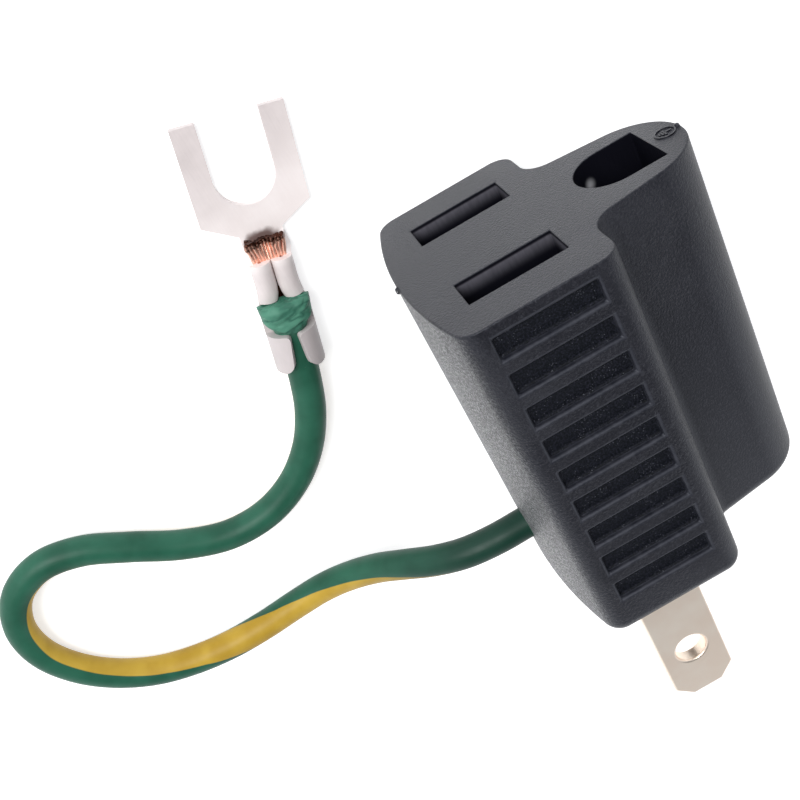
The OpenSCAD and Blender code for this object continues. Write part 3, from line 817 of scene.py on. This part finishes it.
def hug_point(turn):
    """A point of the wing that hugs the insulation."""
    def place(share):
        lifted = turn * (1 - 0.09 * share)
        return (trough_half * math.cos(lifted), lead_height + trough_half * math.sin(lifted))
    return place


roll_turns = [math.radians(a) for a in (0, 15, 35, 55, 75, 95, 115, 135, 155, 175, 195, 212)]
hug_turns = [math.radians(a) for a in (0, 12, 24, 34, 43, 51, 58, 64, 69, 73, 76, 78.5)]
add_wing(barrel_front, barrel_back, ([roll_point(a) for a in roll_turns], roll_radius * roll_turns[-1], roll_turns), 0.2, 0.6)
add_wing(grip_front, fork_tail, ([hug_point(a) for a in hug_turns], trough_half * hug_turns[-1], hug_turns), 0.35, 1.1)

prong_centre = fork_web + fork_gap / 2
rim = [(shoulder, fork_half), (tongue_length, fork_half), (tongue_length, fork_gap / 2)]
rim += [(x, v) for x, v in arc(prong_centre, 0, fork_gap / 2, math.pi / 2, 3 * math.pi / 2, 28)]
rim += [(tongue_length, -fork_gap / 2), (tongue_length, -fork_half), (shoulder, -fork_half)]
tongue = list(range(wide - 1, -1, -1))[::-1]
first_rim = len(sheet_points)
sheet_points += [(x, v, fork_sheet / 2) for x, v in rim]
sheet_faces.append((*tongue, *range(first_rim, first_rim + len(rim))))


def tinned(start):
    """Tin plated copper: pale and satin, faintly pink, with clouds and press marks, painted shade towards the prong
    tips and on the rolls and wings, and a painted shadow in front of the strands.
    """
    place = start.node("TexCoord", out="Object")
    cloud = mottle(place, 330, 3)
    marks = mottle(stretched(place, (2400, 700, 2400)), 1.0, 4, 0.65)
    lines = mottle(stretched(place, (5200, 420, 5200)), 1.0, 3, 0.6)
    along = along_fork(place)
    # Painted shade: darker towards the prong tips and one side, behind the neck, and more on the insulation wings.
    painted_shade = fade(along - 0.5 * part_of(place, 0), 7, 16.5) + fade(along, -1.5, -3.2)
    tin_colour = tint(painted_shade, (0.93, 0.84, 0.82), (0.65, 0.58, 0.57))
    tin_colour = tint(fade(cloud + 0.3 * lines, 0.4, 0.9), tin_colour, tint(painted_shade, (0.98, 0.90, 0.88), (0.76, 0.68, 0.67)))
    tin_colour = tint(0.5 * fade(along, -7.5, -8.5), tin_colour, (0.42, 0.38, 0.38))
    # Painted shadow: a dark spot on the tongue just in front of the strands.
    spot = place.node("Mapping", {"vector_type": "TEXTURE"},
                      {"Vector": place, "Location": at_fork((-0.75, 0, fork_sheet)) * MM,
                       "Rotation": (0, 0, fork_turn), "Scale": (1.0 * MM, 1.75 * MM, 1.5 * MM)})
    off = place.node("VectorMath", {"operation": "LENGTH"}, {0: spot}, out=1)
    tone_mask = fade(off + (mottle(place, 1300, 3) - 0.5) * 0.5, 1.25, 0.6)
    return {"Base Color": tint(tone_mask, tin_colour, (0.14, 0.085, 0.075)),
            "Roughness": 0.38 + 0.14 * cloud + 0.1 * marks, "Normal": relief(marks + lines, 0.012, 0.35)}


tin = finish("tin", {"Specular IOR Level": 1.0}, tinned)
fork = mesh_piece("fork_terminal_tinned", [at_fork(p) for p in sheet_points], sheet_faces)
fork.data.materials.append(tin)
wall = fork.modifiers.new("sheet", "SOLIDIFY")
wall.thickness, wall.offset = fork_sheet * MM, 0
settle(fork)
round_edges(fork, 0.1, segments=2, angle=50)
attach(fork, "root")
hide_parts("fork_terminal")


# The lead's copper strands run through the conductor barrel, pressed flat by its two rolls, and show in front of it
# as a short brush of uneven ends.
strand_radius, strand_step, strand_rows, strand_columns = 0.19, 0.27, 4, 11
strand_back, strand_front = barrel_back - 0.1, -0.4
bundle_low = fork_sheet + strand_radius + 0.03
brush = Tree("strand_brush", {
    "Radius": (NUMBER, strand_radius * MM), "Across": (NUMBER, (strand_columns - 1) * strand_step * MM),
    "Up": (NUMBER, (strand_rows - 1) * strand_step * MM), "Columns": (WHOLE, strand_columns),
    "Rows": (WHOLE, strand_rows), "Back": (NUMBER, strand_back * MM), "Front": (NUMBER, strand_front * MM),
    "Low": (NUMBER, bundle_low * MM), "Seed": (WHOLE, 7),
})
b = brush.inputs
field = brush.add("GeometryNodeMeshGrid", None, {"Size X": b["Across"], "Size Y": b["Up"],
                                                 "Vertices X": b["Columns"], "Vertices Y": b["Rows"]})
start_point = brush.add("ShaderNodeCombineXYZ", None, {0: b["Back"]})
end_point = brush.add("ShaderNodeCombineXYZ", None, {0: b["Front"]})
one = brush.add("GeometryNodeCurvePrimitiveLine", None, {"Start": start_point, "End": end_point})
one = brush.add("GeometryNodeResampleCurve", None, {"Curve": one, "Count": 14})
points = brush.add("GeometryNodeMeshToPoints", None, {"Mesh": field})
where = brush.add("GeometryNodeInputPosition")
parts = brush.tree.nodes.new("ShaderNodeSeparateXYZ")
brush.tree.links.new(where, parts.inputs[0])
raised = brush.add("ShaderNodeMath", {"operation": "ADD"}, {0: parts.outputs[1], 1: b["Low"]})
half_up = brush.add("ShaderNodeMath", {"operation": "MULTIPLY"}, {0: b["Up"], 1: 0.5})
raised = brush.add("ShaderNodeMath", {"operation": "ADD"}, {0: raised, 1: half_up})
turned = brush.add("ShaderNodeCombineXYZ", None, {1: parts.outputs[0], 2: raised})
points = brush.add("GeometryNodeSetPosition", None, {"Geometry": points, "Position": turned})
strands = brush.add("GeometryNodeInstanceOnPoints", None, {"Points": points, "Instance": one})
strands = brush.add("GeometryNodeRealizeInstances", None, {0: strands})
here = brush.add("GeometryNodeInputPosition")
place_parts = brush.tree.nodes.new("ShaderNodeSeparateXYZ")
brush.tree.links.new(here, place_parts.inputs[0])
free = brush.add("ShaderNodeMapRange", {"interpolation_type": "SMOOTHSTEP"},
                 {0: place_parts.outputs[0], 1: (barrel_front - 0.3) * MM, 2: strand_front * MM})
which = brush.add("ShaderNodeVectorMath", {"operation": "SCALE"}, {0: here, "Scale": 1900.0})
stray = brush.add("ShaderNodeTexNoise", {"noise_dimensions": "3D"}, {"Vector": which, "Scale": 0.6}, out=1)
stray = brush.add("ShaderNodeVectorMath", {"operation": "SUBTRACT"}, {0: stray, 1: (0.5, 0.5, 0.32)})
amount = brush.add("ShaderNodeMath", {"operation": "MULTIPLY"}, {0: free, 1: 0.0008})
stray = brush.add("ShaderNodeVectorMath", {"operation": "SCALE"}, {0: stray, "Scale": amount})
fan = brush.add("ShaderNodeVectorMath", {"operation": "MULTIPLY"}, {0: here, 1: (0, 0.2, 0)})
fan = brush.add("ShaderNodeVectorMath", {"operation": "SCALE"}, {0: fan, "Scale": free})
stray = brush.add("ShaderNodeVectorMath", {"operation": "ADD"}, {0: stray, 1: fan})
off_middle = brush.add("ShaderNodeMath", {"operation": "ABSOLUTE"}, {0: place_parts.outputs[1]})
dip = brush.add("ShaderNodeMapRange", {"interpolation_type": "SMOOTHSTEP"},
                {0: off_middle, 1: 0.0, 2: 0.7 * MM, 3: -0.5 * MM, 4: 0.0})
dip = brush.add("ShaderNodeMath", {"operation": "MULTIPLY"}, {0: dip, 1: free})
dip = brush.add("ShaderNodeCombineXYZ", None, {2: dip})
stray = brush.add("ShaderNodeVectorMath", {"operation": "ADD"}, {0: stray, 1: dip})
strands = brush.add("GeometryNodeSetPosition", None, {"Geometry": strands, "Offset": stray})
profile = brush.add("GeometryNodeCurvePrimitiveCircle", None, {"Resolution": 8, "Radius": b["Radius"]})
wires = brush.add("GeometryNodeCurveToMesh", None, {"Curve": strands, "Profile Curve": profile, "Fill Caps": True})
fork_strands = brush.grow("fork_strands_copper", wires, copper)
fork_place = Matrix.Translation(fork_neck * MM) @ Matrix.Rotation(fork_turn, 4, "Z")
fork_strands.data.transform(fork_place)
for polygon in fork_strands.data.polygons:
    polygon.use_smooth = len(polygon.vertices) == 4
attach(fork_strands, "root")
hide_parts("fork_strands")


# The stripped end of the insulation sits in the rear crimp. The two wings squeeze it, so it swells up into the
# window in front of them as a wrinkled dome, and its cut edge is ragged.
dome_front, dome_back = barrel_back - 0.08, grip_front - 0.4
dome_stations = [fork_tail, -11.6, -10.8, -10.0, -9.5] + [dome_back + (dome_front - dome_back) * k / 24
                                                         for k in range(25)]
dome_half = [(dome_back, 1.495), (dome_back + 0.7, 1.6), (dome_back + 1.7, 2.28), (dome_front, 2.4)]
dome_top = [(dome_back, 1.49), (dome_back + 0.9, 1.95), (dome_front - 0.5, 1.98), (dome_front, 1.7)]
dome_rings = []
for along in dome_stations:
    swollen = between([(dome_back, 0.0), (dome_back + 0.8, 1.0)], along)
    ragged = between([(dome_front - 0.5, 0.0), (dome_front, 1.0)], along)
    ring = [(along, 1.49 * math.cos(a), lead_height + 1.49 * math.sin(a))
            for a in (math.pi + math.pi * k / 20 for k in range(21))]
    for k in range(33):
        a = math.pi * k / 32
        fold = noise.noise(Vector((along * 0.85 + 3, math.cos(a) * 1.6, 1.0))) + 0.35 * math.sin(along * 2.6)
        crease = max(0.0, 1 - abs(fold) / 0.2) * 0.10 + 0.06 * noise.noise(Vector((along * 2.2, math.cos(a) * 3, 7.0)))
        swell = 1 - swollen * math.sin(a) ** 0.5 * crease
        half, top = between(dome_half, along) * swell, between(dome_top, along) * swell
        torn = noise.noise(Vector((math.cos(a) * 3.6, math.sin(a) * 2.4, 4.0))) * 0.3 * ragged
        ring.append((along + torn, math.copysign(abs(math.cos(a)) ** (1 - 0.3 * swollen), math.cos(a)) * half,
                     lead_height + 0.03 * swollen + math.sin(a) ** (1 - 0.25 * swollen) * top))
    dome_rings.append(ring)
for shrink in (0.8, 0.5, 0.2):
    dome_rings.append([(x + 0.05 * (1 - shrink), v * shrink, lead_height + (z - lead_height) * shrink)
                       for x, v, z in dome_rings[len(dome_stations) - 1]])
dome = mesh_piece("lead_end_insulation", *skin([[at_fork(p) for p in ring] for ring in dome_rings]))
dome.data.materials.append(plain_insulation)
dome.data.materials.append(squeezed_insulation)
ring_size = len(dome_rings[0])
for polygon in dome.data.polygons:
    polygon.material_index = int(min(polygon.vertices) // ring_size >= 8)
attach(dome, "root")
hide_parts("lead_end")
lead_length = sum((b - a).length for a, b in zip(lead_line, lead_line[1:]))


# The adapter lies on a plain pale table under soft studio light. The table looks white to the camera and keeps the
# adapter's shadow; in reflections it glows as a painted reflection, brightest near the adapter and dim beyond its
# lobe.
table_top = mesh_piece("table_top", [(-600, -600, 0), (600, -600, 0), (600, 600, 0), (-600, 600, 0)], [(0, 1, 2, 3)])
paper = bpy.data.materials.new("paper")
paper.use_nodes = True
paper_tree = Shade(paper.node_tree)
light_path = paper.node_tree.nodes.new("ShaderNodeLightPath").outputs
straight = Shade(paper.node_tree, light_path["Is Camera Ray"]) + Shade(paper.node_tree, light_path["Is Transmission Ray"])
mirrored = Shade(paper.node_tree, light_path["Is Glossy Ray"])
lit = paper_tree.node("BsdfDiffuse", None, {"Color": (0.82, 0.82, 0.82, 1)})
across_table = part_of(paper_tree.node("TexCoord", out="Object"), 0)
# Painted reflection: the table's glow in reflections rises across it from -6 to 18 mm and falls off beyond 19 mm.
bright = 0.62 + 0.3 * fade(across_table, -6, 18) - 0.75 * fade(across_table, 19, 25)
glow = paper_tree.node("Emission", None, {"Color": (1, 1, 1, 1), "Strength": 0.6 * straight + bright * mirrored})
both = paper_tree.node("AddShader", None, {0: lit, 1: glow})
paper.node_tree.links.new(both.socket, paper.node_tree.nodes["Material Output"].inputs["Surface"])
table_top.data.materials.append(paper)

world = bpy.data.worlds.new("studio")
world.use_nodes = True
sky = Shade(world.node_tree)
height = sky.node("SeparateXYZ", None, {0: sky.node("TexCoord", out="Generated")}, out=2)
background = world.node_tree.nodes["Background"]
background.inputs["Color"].default_value = (0.94, 0.965, 1.0, 1)
world.node_tree.links.new((0.04 + 1.02 * fade(height, 0.84, 0.5)).socket, background.inputs["Strength"])
bpy.context.scene.world = world
# Name, place and the side of its square, in millimetres, and power in watts
LAMPS = [("key_lamp", (-160, 260, 420), 260, 2.1)]
for name, place, side, power in LAMPS:
    lamp = bpy.data.lights.new(name, "AREA")
    lamp.shape, lamp.size, lamp.energy = "SQUARE", side * MM, power
    holder = bpy.data.objects.new(name, lamp)
    bpy.context.scene.collection.objects.link(holder)
    holder.location = Vector(place) * MM
    holder.rotation_mode = "QUATERNION"
    holder.rotation_quaternion = (aim - holder.location).to_track_quat("-Z", "Y")
bpy.context.scene.view_settings.view_transform = "Standard"
